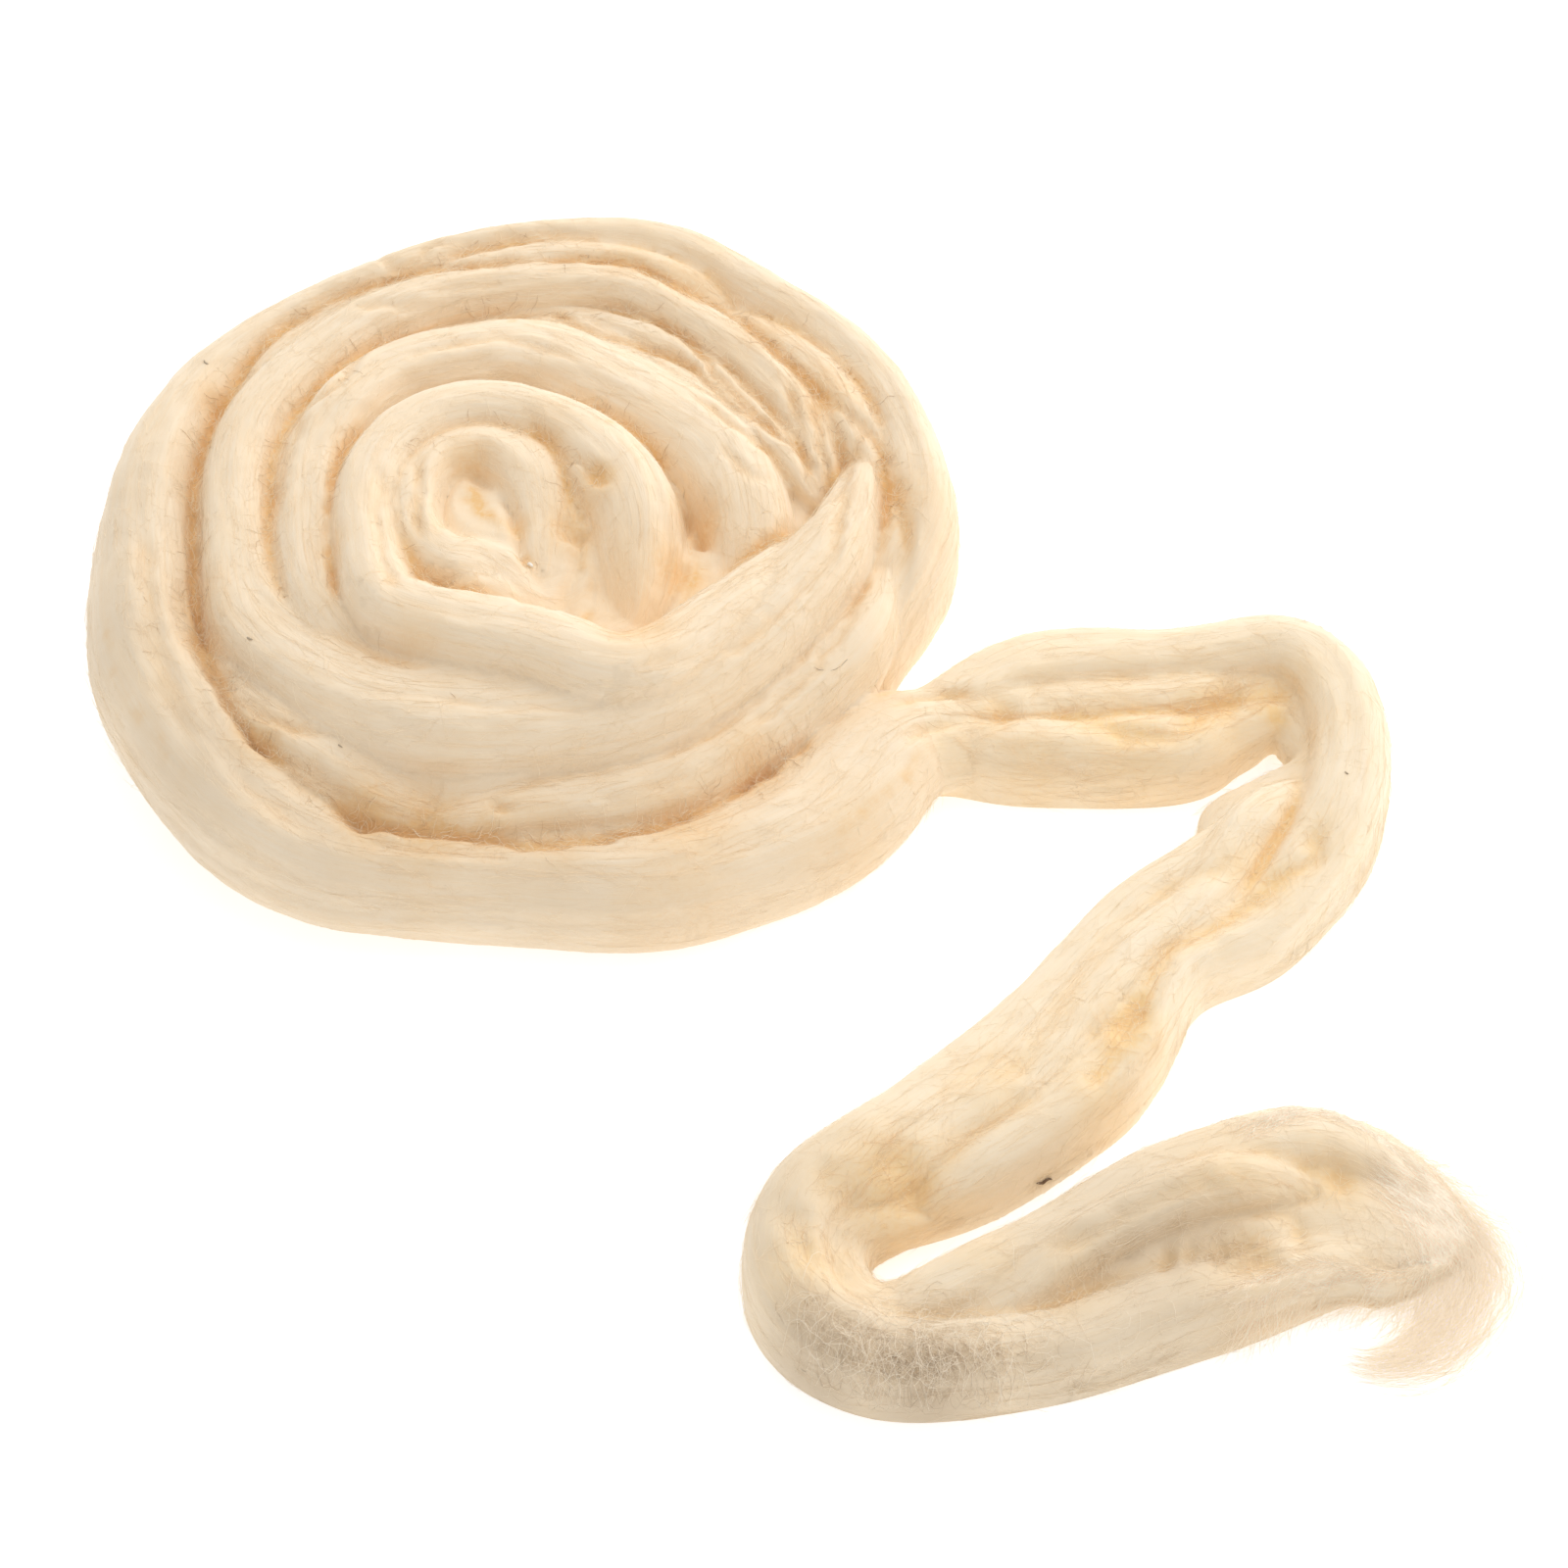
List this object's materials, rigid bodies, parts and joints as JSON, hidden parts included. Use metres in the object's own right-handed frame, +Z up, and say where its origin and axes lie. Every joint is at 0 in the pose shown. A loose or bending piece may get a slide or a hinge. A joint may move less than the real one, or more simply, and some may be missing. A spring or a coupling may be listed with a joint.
{
  "type": "wool roving",
  "caption": "Soft combed wool strand wound into a flat bun, with its outer end lying loose in a zigzag to a frayed tip.",
  "frame": {"origin": "middle of the bun's flat underside, on the surface that the roving lies on", "axes": "+Z up; +X towards the side where the loose end leaves the bun; +Y towards the back of the bun, away from the free tip"},
  "size_m": [0.287, 0.3022, 0.0468],
  "materials": {
    "bun_wool": "soft matte combed wool, undyed cream",
    "tail_wool": "soft matte combed wool, undyed cream, a little greyer and matted towards the frayed tip"
  },
  "bodies": {
    "root": {"wound_roving": "bun_wool", "loose_end": "tail_wool"}
  },
  "joints": []
}
